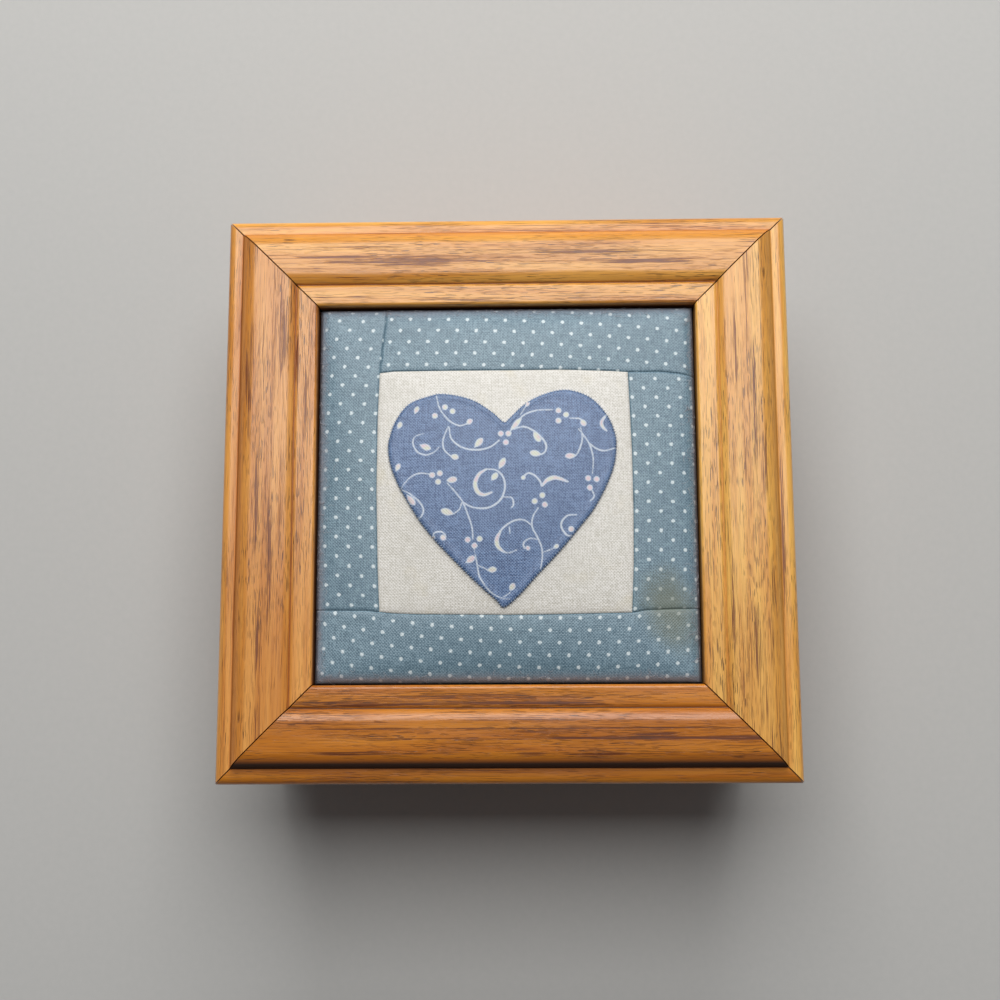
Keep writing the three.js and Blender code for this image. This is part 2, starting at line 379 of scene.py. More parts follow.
def rail(side, quarter_turns, finish):
    """The section carried along one side: each of its lines runs as far as the mitre lets it.

    A line u in from the outer edge is 2 (half - u) long, less the cut. A slow wobble of a few
    hundredths of a millimetre keeps the hand-rubbed edges from being ruled.
    """
    u, v = section.T
    # The stations are even along the rail, with two more close to each mitre.
    inner = np.linspace(-0.997, 0.997, RAIL_STATIONS - 4)
    s = np.r_[-1, -0.9993, inner, 0.9993, 1][:, None]
    along = s * (LID_HALF - u - MITRE_GAP / math.sqrt(2))
    wobble = 0.03 * np.sin(along / 9.0 + quarter_turns * 2.1) * np.sin(along / 23.0 + u)
    across = np.broadcast_to(-(LID_HALF - u), along.shape)
    up = LID_UNDER + v + np.where(v > 12, wobble, 0)
    turn = quarter_turns * np.pi / 2
    x = along * np.cos(turn) - across * np.sin(turn)
    y = along * np.sin(turn) + across * np.cos(turn)
    points = np.stack([x, y, up], -1).reshape(-1, 3)
    count = len(u)
    first = np.arange(count)
    ends = np.stack([first[::-1], first + (RAIL_STATIONS - 1) * count])
    quads = grid(RAIL_STATIONS, count, wrap=True)
    piece = solid("rail_" + side, points, quads[:, ::-1], ends[:, ::-1])
    # Painted shade in the shoulder's foot, darkest in front: its half width, strength and upper
    # end.
    wide, dark, high = (1.3, 1, 17.4) if side == "front" else (0.45, 0.6, 16.2)
    foot = dark * np.clip((high - v) / 2.2, 0, 1) * (abs(u - 4 - wide) < wide)
    note(piece, "recess", np.tile(np.maximum(section_recess, foot), RAIL_STATIONS))
    piece.data.materials.append(finish)
    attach(piece, "root")
    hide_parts("lid_rail_" + side)


RAILS = {
    "front": dict(
        turn=0,
        tree=(9, -22, 4.3, 0.012),
        pale=tone(212, 132, 34),
        warm=tone(190, 110, 26),
        pores=tone(100, 46, 18),
        # painted shade: near black in the recesses and the shoulder's foot, which face away from
        # the light
        shade_and_grime=(0.96, (40, 16, 6)),
        streaks=[
            (0, 22.6, 45, 0.9), (-10, 20.6, 52, 0.8), (-35, 8.0, 24, 0.5),
            (5.6, 7.6, 4, 0.8), (24, 7.6, 7, 0.8), (38, 12.6, 6, 0.7), (10, 14.2, 70, 0.35),
            (20, 11.6, 70, 0.3), (-40, 12.5, 14, 0.7),
        ],
    ),
    "right": dict(
        turn=-90,
        tree=(12, -30, 5.6, 0.01),
        pale=tone(250, 192, 98),
        warm=tone(230, 160, 72),
        shade_and_grime=(0.3, (128, 74, 30)),
        stained=(232, 158, 66),
        streaks=[
            (-24, 7.0, 8, 0.45), (6, 8.2, 9, 0.6), (-28, 17.6, 12, 0.5),
            (-12, 3.4, 26, 0.55), (-40, 12, 12, 0.5), (24, 10.5, 16, 0.6), (38, 15, 10, 0.6),
        ],
        eye=(-15, 11.0, 11, 2.6),
    ),
    "back": dict(
        turn=180,
        tree=(2, -26, 4.8, -0.012),
        pale=tone(240, 174, 80),
        warm=tone(218, 144, 54),
        streaks=[
            (42, 9.4, 13, 0.6), (48, 12.0, 9, 0.5), (42, 13.4, 8, 0.4),
            (24, 13.1, 12, 0.8), (25, 14.3, 9, 0.5), (42, 22.9, 13, 0.7),
            (14, 23.8, 14, 0.5), (-20, 11, 14, 0.6), (-38, 14, 11, 0.6),
        ],
    ),
    "left": dict(
        turn=90,
        tree=(16, -24, 4.4, 0.014),
        pale=tone(238, 168, 84),
        warm=tone(212, 136, 56),
        streaks=[
            (-45, 3.8, 6, 0.5), (-31, 6.9, 7, 0.6), (-20, 7.5, 8, 0.5),
            (-42, 16.4, 8, 0.7), (-36, 19.6, 7, 0.6), (-26, 22.6, 10, 0.6),
            (4, 10, 14, 0.6), (22, 14, 16, 0.6), (40, 11, 10, 0.6),
        ],
    ),
}
for quarter_turns, (side, look) in enumerate(RAILS.items()):
    finish = oak(
        "moulding_oak_" + side, look["turn"], (0, LID_HALF, -LID_UNDER), look["tree"],
        look["pale"], look["warm"], look.get("pores", PORES), look["streaks"], look.get("eye"),
        shade_and_grime=look.get("shade_and_grime", (0.75, (96, 44, 16))), dull=7.0,
        stained=look.get("stained", (208, 116, 34)),
    )
    rail(side, quarter_turns, finish)


# The quilted panel: a cream square with four dotted strips sewn round it in turn, pulled over
# wadding on the lid's board. The swelling between the seams comes from a cloth simulation.

CLOTH_HALF, MARGIN_HALF = 50.4, 55.5
BEAD_TOP, TUCK_DEPTH, SHOULDER_DEPTH, CROWN, CLOTH_ROLL = 16.0, 3.2, 0.9, 2.2, 3.2
MARGIN_TOP, SEAM_SINK, SEAM_SPREAD = 9.2, 0.1, 0.8
SIM_STEPS, SIM_FRAMES, SWELL_LIMIT = 42, 16, 0.35
SEAM_GAP, CLOTH_MAP = 0.03, 200.0

cream_left = [(-33.5, -31.9), (-34.0, -21), (-34.5, 0), (-34.4, 20), (-34.0, 32.2)]
cream_right = [(32.5, -32.4), (33.1, -20), (33.3, -6), (33.2, 10), (32.5, 31.9)]
cream_top = [(-34.0, 32.2), (-30, 32.6), (0, 32.5), (15, 32.6), (28, 32.2), (32.5, 31.9)]
cream_bottom = [
    (-33.5, -31.9), (-30, -32.3), (-24, -32.6), (0, -32.9), (13, -32.8), (32.5, -32.4),
]
left_seam_up = [(-34.0, 32.2), (-33.2, 40.5), (-32.2, 50.4)]
top_seam_out = [(32.5, 31.9), (40.9, 32.1), (46.2, 31.6), (50.4, 30.7)]
foot_seam_left = [(-50.4, -31.3), (-43.6, -31.4), (-37, -31.5), (-33.5, -31.9)]
foot_seam_right = [(32.5, -32.4), (36.2, -31.7), (44.7, -31.4), (50.4, -31.4)]
SEAMS = [
    cream_left + left_seam_up[1:],
    cream_top + top_seam_out[1:],
    cream_right,
    foot_seam_left + cream_bottom[1:] + foot_seam_right[1:],
]


def seam_distance(x, y):
    """The distance from each place to the nearest seam line."""
    best = np.full(np.shape(x), 1e3)
    for line in SEAMS:
        for (x0, y0), (x1, y1) in zip(line[:-1], line[1:]):
            dx, dy = x1 - x0, y1 - y0
            t = np.clip(((x - x0) * dx + (y - y0) * dy) / (dx * dx + dy * dy), 0, 1)
            best = np.minimum(best, np.hypot(x - x0 - t * dx, y - y0 - t * dy))
    return best


def stretched_height(x, y):
    """The cloth as it is pulled down: a low dome, rolled over at its edge, with the seams sunk."""

    def roll(t):
        inside = np.clip((CLOTH_HALF - np.abs(t)) / CLOTH_ROLL, 0, 1)
        return np.sqrt(np.clip(1 - (1 - inside) ** 2, 0, 1))

    edge = roll(x) * roll(y)
    dome = (1 - (x / CLOTH_HALF) ** 2) * (1 - (y / CLOTH_HALF) ** 2)
    height = BEAD_TOP - TUCK_DEPTH + (TUCK_DEPTH - SHOULDER_DEPTH) * edge
    height = height + (SHOULDER_DEPTH + CROWN) * dome
    sink = SEAM_SINK * np.exp(-((seam_distance(x, y) / SEAM_SPREAD) ** 2)) * edge
    return LID_UNDER + height - sink


def rim_of(rows, columns):
    """The numbers of a grid's edge points, once round."""
    index = np.arange(rows * columns).reshape(rows, columns)
    return np.r_[index[0, :-1], index[:-1, -1], index[-1, :0:-1], index[:0:-1, 0]]


def swelling():
    """How far a closed pad of cloth swells between its sewn lines, on a square grid.

    The pad is a top and a bottom grid with walls. Its edge, bottom and seams are pinned, and air
    presses out from inside. The answer is scaled to a limit, so that it stays in its space.
    """
    side = np.linspace(-CLOTH_HALF, CLOTH_HALF, SIM_STEPS + 1)
    x, y = np.meshgrid(side, side)
    top = np.stack([x, y, stretched_height(x, y)], -1).reshape(-1, 3)
    base = top.copy()
    base[:, 2] = LID_UNDER + 4
    count = SIM_STEPS + 1
    rim = rim_of(count, count)
    after, under = np.roll(rim, -1), rim + count**2
    walls = np.stack([under, np.roll(under, -1), after, rim], 1)
    quads = grid(count, count)
    pad = solid("pad_form", np.vstack([top, base]), quads, quads[:, ::-1] + count**2, walls)
    held = np.exp(-((seam_distance(x, y) / 1.3) ** 2)).ravel()
    held[rim] = 1
    group = pad.vertex_groups.new(name="held")
    for k, weight in enumerate(held):
        group.add([k], float(weight), "REPLACE")
    group.add(list(range(count**2, 2 * count**2)), 1.0, "REPLACE")
    cloth = pad.modifiers.new("cloth", "CLOTH").settings
    cloth.quality = 6
    cloth.mass = 0.15
    cloth.tension_stiffness = cloth.compression_stiffness = 12
    cloth.shear_stiffness = 5
    cloth.bending_stiffness = 0.02
    cloth.air_damping = 2
    cloth.vertex_group_mass = "held"
    cloth.pin_stiffness = 1
    cloth.use_pressure = True
    cloth.uniform_pressure_force = 3
    cloth.effector_weights.gravity = 0
    scene = bpy.context.scene
    for step in range(1, SIM_FRAMES + 1):
        scene.frame_set(step)
    shape = pad.evaluated_get(bpy.context.evaluated_depsgraph_get()).to_mesh()
    found = np.empty(len(shape.vertices) * 3, np.float32)
    shape.vertices.foreach_get("co", found)
    lifted = found.reshape(-1, 3)[: count**2, 2] * 1000 - top[:, 2]
    scene.frame_set(1)
    bpy.data.objects.remove(pad)
    scale = min(1.0, SWELL_LIMIT / float(abs(lifted).max()))
    return side, (lifted * scale).reshape(count, count)


pad_side, pad_swell = swelling()


def between(x, y):
    """Cubic interpolation of the swelling, with weights from the four nearest lines each way."""
    step = pad_side[1] - pad_side[0]

    def lines(t):
        at = np.clip((t + CLOTH_HALF) / step, 0, SIM_STEPS - 1e-6)
        cell = np.floor(at).astype(int)
        f = at - cell
        weights = (
            -0.5 * f + f**2 - 0.5 * f**3,
            1 - 2.5 * f**2 + 1.5 * f**3,
            0.5 * f + 2 * f**2 - 1.5 * f**3,
            -0.5 * f**2 + 0.5 * f**3,
        )
        return [np.clip(cell + k, 0, SIM_STEPS) for k in (-1, 0, 1, 2)], weights

    (columns, across), (rows, along) = lines(x), lines(y)
    return sum(
        wr * wc * pad_swell[r, c]
        for r, wr in zip(rows, along)
        for c, wc in zip(columns, across)
    )


def cloth_height(x, y):
    """The finished cloth: the stretched form with its swelling, and small pulls of the hand."""
    pull = 0.05 * np.sin(x / 6.1 + 0.4 * np.sin(y / 9)) * np.sin(y / 7.3 + 1.1)
    inside = np.clip((CLOTH_HALF - np.maximum(np.abs(x), np.abs(y))) / 6, 0, 1)
    return stretched_height(x, y) + between(x, y) + pull * inside


def along_line(line, t):
    """Places at shares t of a broken line's length."""
    line = np.array(line, float)
    length = lengths(line)
    at = np.asarray(t) * length[-1]
    return np.stack([np.interp(at, length, line[:, k]) for k in (0, 1)], -1)


def patch(name, foot, head, left, right, open_edges, weave, finish, spacing=0.42):
    """One piece of the patchwork, between four edge lines, each given from left or from foot.

    A place is the blend of the two pairs of edges less the blend of the corners. The piece turns
    down at its seams and, at the open edges, drops inside the frame and runs on under its lip.
    Walls close it down to the board's upper face.
    """
    wide = int(np.hypot(*np.subtract(foot[-1], foot[0])) / spacing)
    tall = int(np.hypot(*np.subtract(left[-1], left[0])) / spacing)

    def crowded(count):
        """Shares that crowd at both ends, where the cloth turns."""
        inner = np.linspace(0, 1, count)
        fine = np.array([0, 0.0015, 0.004, 0.0075, 0.012])
        return np.unique(np.r_[fine, inner[(inner > 0.016) & (inner < 0.984)], 1 - fine])

    s, t = crowded(wide), crowded(tall)
    f, h = along_line(foot, s)[None], along_line(head, s)[None]
    l, r = along_line(left, t)[:, None], along_line(right, t)[:, None]
    s2, t2 = s[None, :, None], t[:, None, None]
    corners = (1 - t2) * ((1 - s2) * f[:, :1] + s2 * f[:, -1:])
    corners = corners + t2 * ((1 - s2) * h[:, :1] + s2 * h[:, -1:])
    flat = (1 - t2) * f + t2 * h + (1 - s2) * l + s2 * r - corners
    x, y = flat[..., 0], flat[..., 1]
    away = seam_distance(x, y)
    smooth = cloth_height(x, y)
    z = smooth - 0.2 * np.exp(-((away / 0.15) ** 2))  # the crease at the stitching
    # Drawn in a hair towards its middle, so that neighbours don't share a wall.
    middle = flat.reshape(-1, 2).mean(0)
    flat = middle + (flat - middle) * (1 - SEAM_GAP / 30)
    top = np.dstack([flat, z])
    # Lengths measured on the cloth: across a strip from its seam, along it from its middle.
    run = np.hypot(np.diff(flat[..., 0], axis=1), np.diff(smooth, axis=1))
    run = np.hstack([np.zeros((len(t), 1)), np.cumsum(run, 1)])
    climb = np.hypot(np.diff(flat[..., 1], axis=0), np.diff(smooth, axis=0))
    climb = np.vstack([np.zeros((1, len(s))), np.cumsum(climb, 0)])
    opens = open_edges[0] if open_edges else ""
    column = {"right": 0, "left": -1}.get(opens, len(s) // 2)
    row = {"head": 0, "foot": -1}.get(opens, len(t) // 2)
    run = run - run[:, column, None] + flat[:, column, None, 0]
    climb = climb - climb[None, row] + flat[None, row, :, 1]
    # The rings below the top: straight down at a seam, and out under the lip at an open edge.
    rows, columns = len(t), len(s)
    rim = rim_of(rows, columns)
    edge = top.reshape(-1, 3)[rim]
    out = edge[:, :2].copy()
    for k in (0, 1):
        under_lip = np.abs(edge[:, k]) > CLOTH_HALF - 0.2
        out[under_lip, k] = np.sign(edge[under_lip, k]) * MARGIN_HALF
    lip, floor = LID_UNDER + MARGIN_TOP, LID_UNDER
    rings = [
        np.c_[edge[:, :2], np.full(len(rim), lip)],
        np.c_[out, np.full(len(rim), lip)],
        np.c_[out, np.full(len(rim), floor)],
    ]
    points = np.vstack([top.reshape(-1, 3), *rings, [[*middle, floor]]])
    order = [rim] + [rows * columns + k * len(rim) + np.arange(len(rim)) for k in range(3)]
    walls = [
        np.stack([b, np.roll(b, -1), np.roll(a, -1), a], 1)
        for a, b in zip(order[:-1], order[1:])
    ]
    tip = np.full(len(rim), len(points) - 1)
    fan = np.stack([np.roll(order[-1], -1), order[-1], tip], 1)
    piece = solid(name, points, grid(rows, columns), *walls, fan)
    # The map of the flat cloth: turned to the weave, in units of CLOTH_MAP millimetres.
    origin, turn, bend = weave
    u, v = run - origin[0], climb - origin[1]
    c, n = math.cos(math.radians(turn)), math.sin(math.radians(turn))
    along = u * c + v * n
    cloth = np.stack([along, v * c - u * n + bend * along**2], -1).reshape(-1, 2)
    extra = np.vstack([cloth[rim]] * 3 + [[[0, 0]]])
    places = np.vstack([cloth, extra])
    corner = np.empty(len(piece.data.loops), np.int32)
    piece.data.loops.foreach_get("vertex_index", corner)
    layer = piece.data.uv_layers.new(name="cloth")
    flat_map = places[corner] / CLOTH_MAP + 0.5
    layer.data.foreach_set("uv", flat_map.astype(np.float32).ravel())
    piece.data.materials.append(finish)
    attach(piece, "root")
    return piece


def plain_weave(cloth, place, ways, cell, slub_size, fuzz_size):
    """Slubs, fuzz, how light they and the threads leave the cloth (0 to 1), and its relief.

    A thread's height is the sine of its place, cell millimetres wide, the two ways by turns on
    top. Slubs are noise stretched along each way.
    """
    long, thin, deep = slub_size
    slub = cloth.speckle(place, slub_size) + cloth.speckle(place, (thin, long, deep))
    fuzz = cloth.speckle(place, fuzz_size, 3.0, 0.75)
    warp, weft = ((way * (math.pi / cell)).maths("SINE") for way in ways)
    thread = warp * weft
    light = slub * 0.8 + fuzz * 1.1 + thread * 0.2 - 1.35  # 0 on average
    return slub, fuzz, light.rise(-0.3, 0.3), thread * 0.22 + slub * 0.5 + fuzz * 0.35


def cotton(name, base, shade, dots=None, yellowing=0.0):
    """Plain-woven cotton, paler on its threads' backs, a little yellowed or printed with pin dots.

    Pin dots stand on a centred lattice, and their rims are ragged.
    """
    cloth = Finish(
        name, Roughness=0.4, Specular_IOR_Level=0.85, Sheen_Weight=0.1, Sheen_Roughness=0.5
    )
    place = cloth.node(
        "Mapping",
        {},
        {
            "Vector": cloth.node("UVMap", {"uv_map": "cloth"}, {}),
            "Location": (-CLOTH_MAP / 2, -CLOTH_MAP / 2, 0),
            "Scale": (CLOTH_MAP, CLOTH_MAP, CLOTH_MAP),
        },
    )
    warp, weft, _ = cloth.parts(place)
    over = cloth.millimetres()
    x, y, _ = cloth.parts(over)
    slub, fuzz, light, relief = plain_weave(
        cloth, place, (warp, weft), 0.42, (3.5, 0.36, 1), (0.5, 0.5, 1)
    )
    cloudy = cloth.speckle(over, (16, 16, 16), 2.0)
    colour = cloth.blend(light, shade, base)
    colour = cloth.blend(cloudy.rise(0.35, 0.75) * 0.25, colour, shade)
    if yellowing:
        mark = cloth.speckle(over, (9, 9, 9), 3.0).rise(0.55, 0.75) * yellowing
        colour = cloth.blend(mark, colour, tone(214, 204, 176))
    if dots:
        along_pitch, across_pitch, size, ink = dots

        def off(value, pitch, shift):
            turned = value / pitch + shift
            return (turned.maths("FRACT") - 0.5) * pitch

        def spot(shift):
            aside, ahead = off(warp, along_pitch, shift), off(weft, across_pitch, shift)
            far = (aside**2 + ahead**2) ** 0.5
            ragged = (fuzz - 0.5) * 0.9 + (slub - 1.0) * 0.3
            return 1 - (far + ragged).rise(size * 0.34, size * 0.6)

        printed = spot(0.5).maths("MAXIMUM", spot(0.0))
        colour = cloth.blend(printed * 0.88, colour, ink)
        # An old stain in the front right corner.
        far = (((x - 42.5) / 9.0) ** 2 + ((y + 30.5) / 11.0) ** 2) ** 0.5
        stain = 1 - (far + (cloudy - 0.5) * 1.4 + (fuzz - 0.5) * 0.9).rise(0.1, 1.2)
        colour = cloth.blend(stain * 0.7, colour, tone(108, 112, 88))
    # Lint and dust caught where the cloth dives under the frame.
    edge = (x * -1.0).maths("MAXIMUM", y.maths("ABSOLUTE")).maths("MAXIMUM", x - 1.2)
    dust = (edge + (fuzz - 0.5) * 3.0 + (cloudy - 0.5) * 2.0).rise(46.9, 50.0) * 0.5
    colour = cloth.blend(dust, colour, tone(160, 162, 176))
    # Painted shadow: a dark band where the frame's lip shades the cloth at the left, right and back
    # edges.
    edge = x.maths("ABSOLUTE").maths("MAXIMUM", y)
    shade_and_grime = (edge + (fuzz - 0.5) * 1.2).rise(49.2, 50.1) * 0.8
    colour = cloth.blend(shade_and_grime, colour, tone(54, 40, 48))
    return cloth.wear(colour, 0.37 + 0.08 * fuzz, relief, 0.09)


CREAM = cotton("cream_cotton", tone(238, 235, 230), tone(202, 198, 188), yellowing=0.35)
DOTTED = cotton(
    "dotted_cotton",
    tone(134, 161, 176),
    tone(80, 109, 126),
    dots=(5.12, 6.42, 1.0, tone(222, 234, 238)),
)
centre = patch(
    "quilt_cream", cream_bottom, cream_top, cream_left, cream_right, (),
    ((0, 0), 0.4, 0), CREAM, 0.5,
)
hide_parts("quilt_centre")

OUT = CLOTH_HALF
# Each strip: its foot, head, left and right edge, its open edges, and its weave (the middle of a
# dot on the cloth, the turn in degrees, and the bow of its rows).
STRIPS = {
    "right": (
        foot_seam_right,
        top_seam_out,
        cream_right,
        [(OUT, -31.4), (OUT, 30.7)],
        ("right",),
        ((40.51, -0.66), 90.0, -0.00089),
    ),
    "back": (
        cream_top + top_seam_out[1:],
        [(-32.2, OUT), (OUT, OUT)],
        left_seam_up,
        [(OUT, 30.7), (OUT, OUT)],
        ("head", "right"),
        ((9.67, 39.81), -3.0, 0.00067),
    ),
    "left": (
        foot_seam_left,
        [(-OUT, OUT), (-32.2, OUT)],
        [(-OUT, -31.3), (-OUT, OUT)],
        cream_left + left_seam_up[1:],
        ("left", "head"),
        ((-41.9, 11.0), 88.0, 0.00153),
    ),
    "front": (
        [(-OUT, -OUT), (OUT, -OUT)],
        foot_seam_left + cream_bottom[1:] + foot_seam_right[1:],
        [(-OUT, -OUT), (-OUT, -31.3)],
        [(OUT, -OUT), (OUT, -31.4)],
        ("foot",),
        ((-1.85, -39.75), -2.6, -0.0013),
    ),
}
for side, (foot, head, left, right, open_edges, weave) in STRIPS.items():
    strip = patch(
        "quilt_strip_" + side + "_cloth", foot, head, left, right, open_edges, weave, DOTTED
    )
    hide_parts("quilt_strip_" + side)


# The heart: one layer of blue cotton printed with a pale scrolling vine, its edge turned under
# and whip-stitched down by hand to the cream square.

HEART_RINGS, HEART_SPOKES = 112, 640
HEART_MIDDLE = (-1.0, 4.0)
HEART_LIFT, HEART_THICK, TURNED_EDGE = 0.26, 0.34, 0.8
heart_line = np.array(
    [
        (-0.7, 18.0), (-3.5, 20.5), (-8.0, 23.6), (-12.4, 25.2), (-17.0, 25.9),
        (-20.1, 25.5), (-25.9, 23.3), (-29.4, 18.9), (-31.0, 14.4), (-31.4, 11.2),
        (-30.7, 6.7), (-28.8, 1.7), (-26.6, -2.3), (-23.0, -8.2), (-19.0, -13.3),
        (-13.8, -18.8), (-8.0, -24.6), (-2.8, -29.2), (-0.8, -31.0), (3.3, -27.7),
        (7.7, -22.9), (12.1, -18.3), (16.1, -13.8), (19.2, -10.0), (22.8, -5.4),
        (26.0, 0.4), (28.3, 6.3), (29.0, 11.6), (28.6, 15.3), (26.7, 19.8),
        (22.8, 24.3), (17.9, 26.5), (13.5, 26.6), (8.5, 25.0), (4.5, 22.6), (0.9, 19.1),
    ]
)


def smooth_line(points, count, closed=False):
    """A smooth curve through the points, each stretch a cubic that leans as its neighbours do."""
    points = np.array(points, float)
    total = len(points) if closed else len(points) - 1
    at = np.linspace(0, total, count, endpoint=not closed)
    cell = np.minimum(at.astype(int), total - 1)
    f = (at - cell)[:, None]
    picks = [(cell + k) % total if closed else np.clip(cell + k, 0, total) for k in (-1, 0, 1, 2)]
    a, b, c, d = (points[pick] for pick in picks)
    return 0.5 * (
        2 * b + (c - a) * f + (2 * a - 5 * b + 4 * c - d) * f**2
        + (3 * b - a - 3 * c + d) * f**3
    )


outline = smooth_line(heart_line, 2400, closed=True)
bearing = np.arctan2(*(outline - HEART_MIDDLE).T[::-1])
order = np.argsort(bearing)
reach = np.hypot(*(outline - HEART_MIDDLE).T)


def heart_reach(angle):
    """How far the heart's edge is from its middle at each bearing."""
    return np.interp(angle, bearing[order], reach[order], period=2 * np.pi)


# The drawing of the print: its middle, its units to a millimetre across and upwards, and the
# small factors that undo its slight perspective.
DRAWN_MIDDLE, DRAWN_ACROSS, DRAWN_UP = (780, 736), 22.47, 22.17
NARROWING, SHORTENING, SLANT = 1.89e-5, 2.66e-5, 0.0044


def heart_place(x, y):
    """Points of the drawing of the print as places on the heart."""
    dx, dy = np.asarray(x, float) - DRAWN_MIDDLE[0], np.asarray(y, float) - DRAWN_MIDDLE[1]
    across = dx / DRAWN_ACROSS * (1 - NARROWING * dy) - SLANT * dy / DRAWN_ACROSS
    return np.stack([across, -dy / DRAWN_UP * (1 - SHORTENING * dy)], -1)


# The vine as drawn: stems (half width at the ends and in the middle), leaves from stalk to
# tip with their half width, and round berries.
STEMS = [
    (4, 5, [(365, 185), (385, 260), (440, 330), (500, 360), (545, 350)]),
    (4, 5, [(435, 365), (405, 440), (410, 500), (450, 540)]),
    (4, 6, [(440, 370), (455, 440), (520, 490), (600, 505), (680, 490), (735, 450)]),
    (3, 5, [(385, 480), (350, 515), (300, 530), (250, 510), (225, 460), (240, 420), (290, 405)]),
    (3, 5, [(150, 735), (200, 670), (260, 640), (330, 645)]),
    (3, 5, [(160, 735), (215, 765), (270, 815), (288, 860), (270, 900), (240, 905)]),
    (4, 5, [(430, 700), (500, 780), (520, 810)]),
    (4, 6, [(520, 810), (570, 840), (640, 850), (700, 835), (750, 790), (770, 720),
            (755, 660), (715, 625), (660, 620)]),
    (6, 14, [(660, 620), (618, 648), (594, 700), (608, 750), (645, 770), (692, 756)]),
    (3, 5, [(760, 785), (810, 790), (820, 830), (805, 850)]),
    (3, 4, [(515, 815), (500, 855), (465, 880)]),
    (4, 5, [(520, 810), (545, 870), (575, 960), (580, 1030)]),
    (3, 5, [(585, 1080), (600, 1150), (610, 1210), (625, 1265), (680, 1340), (740, 1378),
            (800, 1388)]),
    (3, 4, [(610, 1185), (660, 1210)]),
    (3, 4, [(760, 1375), (800, 1350)]),
    (3, 5, [(345, 1025), (350, 995), (385, 985), (415, 1000), (420, 1030)]),
    (4, 5, [(820, 385), (870, 310), (950, 275), (1050, 270)]),
    (3, 5, [(1150, 320), (1215, 325), (1225, 350)]),
    (4, 6, [(820, 385), (880, 370), (940, 395), (990, 440), (1012, 480), (1008, 515), (985, 535)]),
    (3, 4, [(860, 300), (900, 240)]),
    (3, 5, [(1205, 385), (1240, 430), (1270, 480), (1290, 560), (1285, 650)]),
    (3, 5, [(1215, 370), (1225, 440), (1210, 500), (1190, 540)]),
    (3, 5, [(1270, 470), (1310, 500), (1360, 512), (1420, 495)]),
    (3, 4, [(1280, 740), (1295, 780), (1270, 812)]),
    (5, 11, [(1370, 300), (1340, 340), (1345, 370), (1370, 395)]),
    (5, 6, [(880, 665), (905, 645), (940, 655), (975, 690), (985, 720)]),
    (5, 14, [(990, 720), (1020, 685), (1070, 672), (1140, 695)]),
    (4, 5, [(965, 850), (935, 900), (930, 960), (960, 1020), (985, 1080), (990, 1140),
            (980, 1210)]),
    (3, 4, [(1000, 1110), (1060, 1085)]),
    (4, 6, [(925, 950), (880, 920), (820, 925), (760, 965), (728, 1010), (722, 1060),
            (745, 1100), (790, 1113), (838, 1098)]),
    (5, 14, [(745, 985), (722, 1030), (728, 1075), (765, 1108)]),
    (3, 4, [(795, 960), (800, 1000)]),
    (3, 5, [(960, 1035), (915, 1030), (880, 1055), (885, 1085), (915, 1080)]),
    (4, 6, [(1190, 890), (1140, 895), (1105, 930), (1105, 970), (1135, 1010), (1165, 1015)]),
]
LEAVES = [
    (545, 350, 572, 328, 11), (450, 540, 492, 548, 12), (590, 490, 637, 438, 13),
    (265, 470, 330, 495, 13), (235, 285, 255, 245, 10), (135, 375, 155, 335, 10),
    (125, 625, 145, 580, 10), (425, 685, 485, 675, 13), (470, 882, 393, 858, 14),
    (690, 685, 724, 645, 12), (735, 618, 768, 556, 13), (540, 1170, 590, 1135, 13),
    (665, 1215, 718, 1210, 12), (800, 1335, 822, 1298, 12), (190, 765, 235, 825, 13),
    (798, 398, 866, 318, 11), (1220, 330, 1240, 362, 12), (885, 664, 872, 676, 9),
    (938, 395, 975, 460, 13), (985, 535, 918, 522, 13), (895, 250, 908, 225, 9),
    (1190, 540, 1125, 545, 12), (1060, 1085, 1082, 1070, 9), (335, 1030, 352, 1012, 8),
    (895, 1078, 912, 1092, 9),
]
BERRIES = [
    (745, 410), (790, 410), (775, 462), (355, 300), (415, 250), (460, 275), (340, 650),
    (385, 640), (375, 690), (550, 1035), (620, 1030), (590, 1070), (1085, 275),
    (1130, 300), (1085, 335), (1260, 675), (1310, 680), (1270, 730), (990, 775),
    (945, 810), (1005, 830), (1160, 975), (405, 1020),
]
BERRY_SIZE = 18.0


def printed_distance(points):
    """How far each place on the heart lies outside the printed vine, below zero inside it.

    A stem is a chain of discs that swell to its middle, a leaf a chain that swells as a sine
    from stalk to tip, and a berry a single disc. The nearest disc's edge counts.
    """
    chains = []
    for thin, thick, line in STEMS:
        places = smooth_line(line, 14 * (len(line) - 1))
        swell = np.sin(np.linspace(0, np.pi, len(places)))
        chains.append((places, thin + (thick - thin) * swell))
    for x0, y0, x1, y1, half in LEAVES:
        t = np.linspace(0, 1, 16)
        places = np.stack([x0 + (x1 - x0) * t, y0 + (y1 - y0) * t], 1)
        chains.append((places, 3 + (1.5 * half - 3) * np.sin(np.pi * t**1.3)))
    chains += [(np.array([berry], float), np.array([BERRY_SIZE])) for berry in BERRIES]
    best = np.full(len(points), 3.0)
    for places, radius in chains:
        centre, radius = heart_place(*places.T), radius / 22.3
        low, high = centre.min(0) - 2.5, centre.max(0) + 2.5
        near = np.flatnonzero(((points > low) & (points < high)).all(1))
        gap = np.hypot(*(points[near, None] - centre[None]).transpose(2, 0, 1)) - radius
        best[near] = np.minimum(best[near], gap.min(1))
    return best


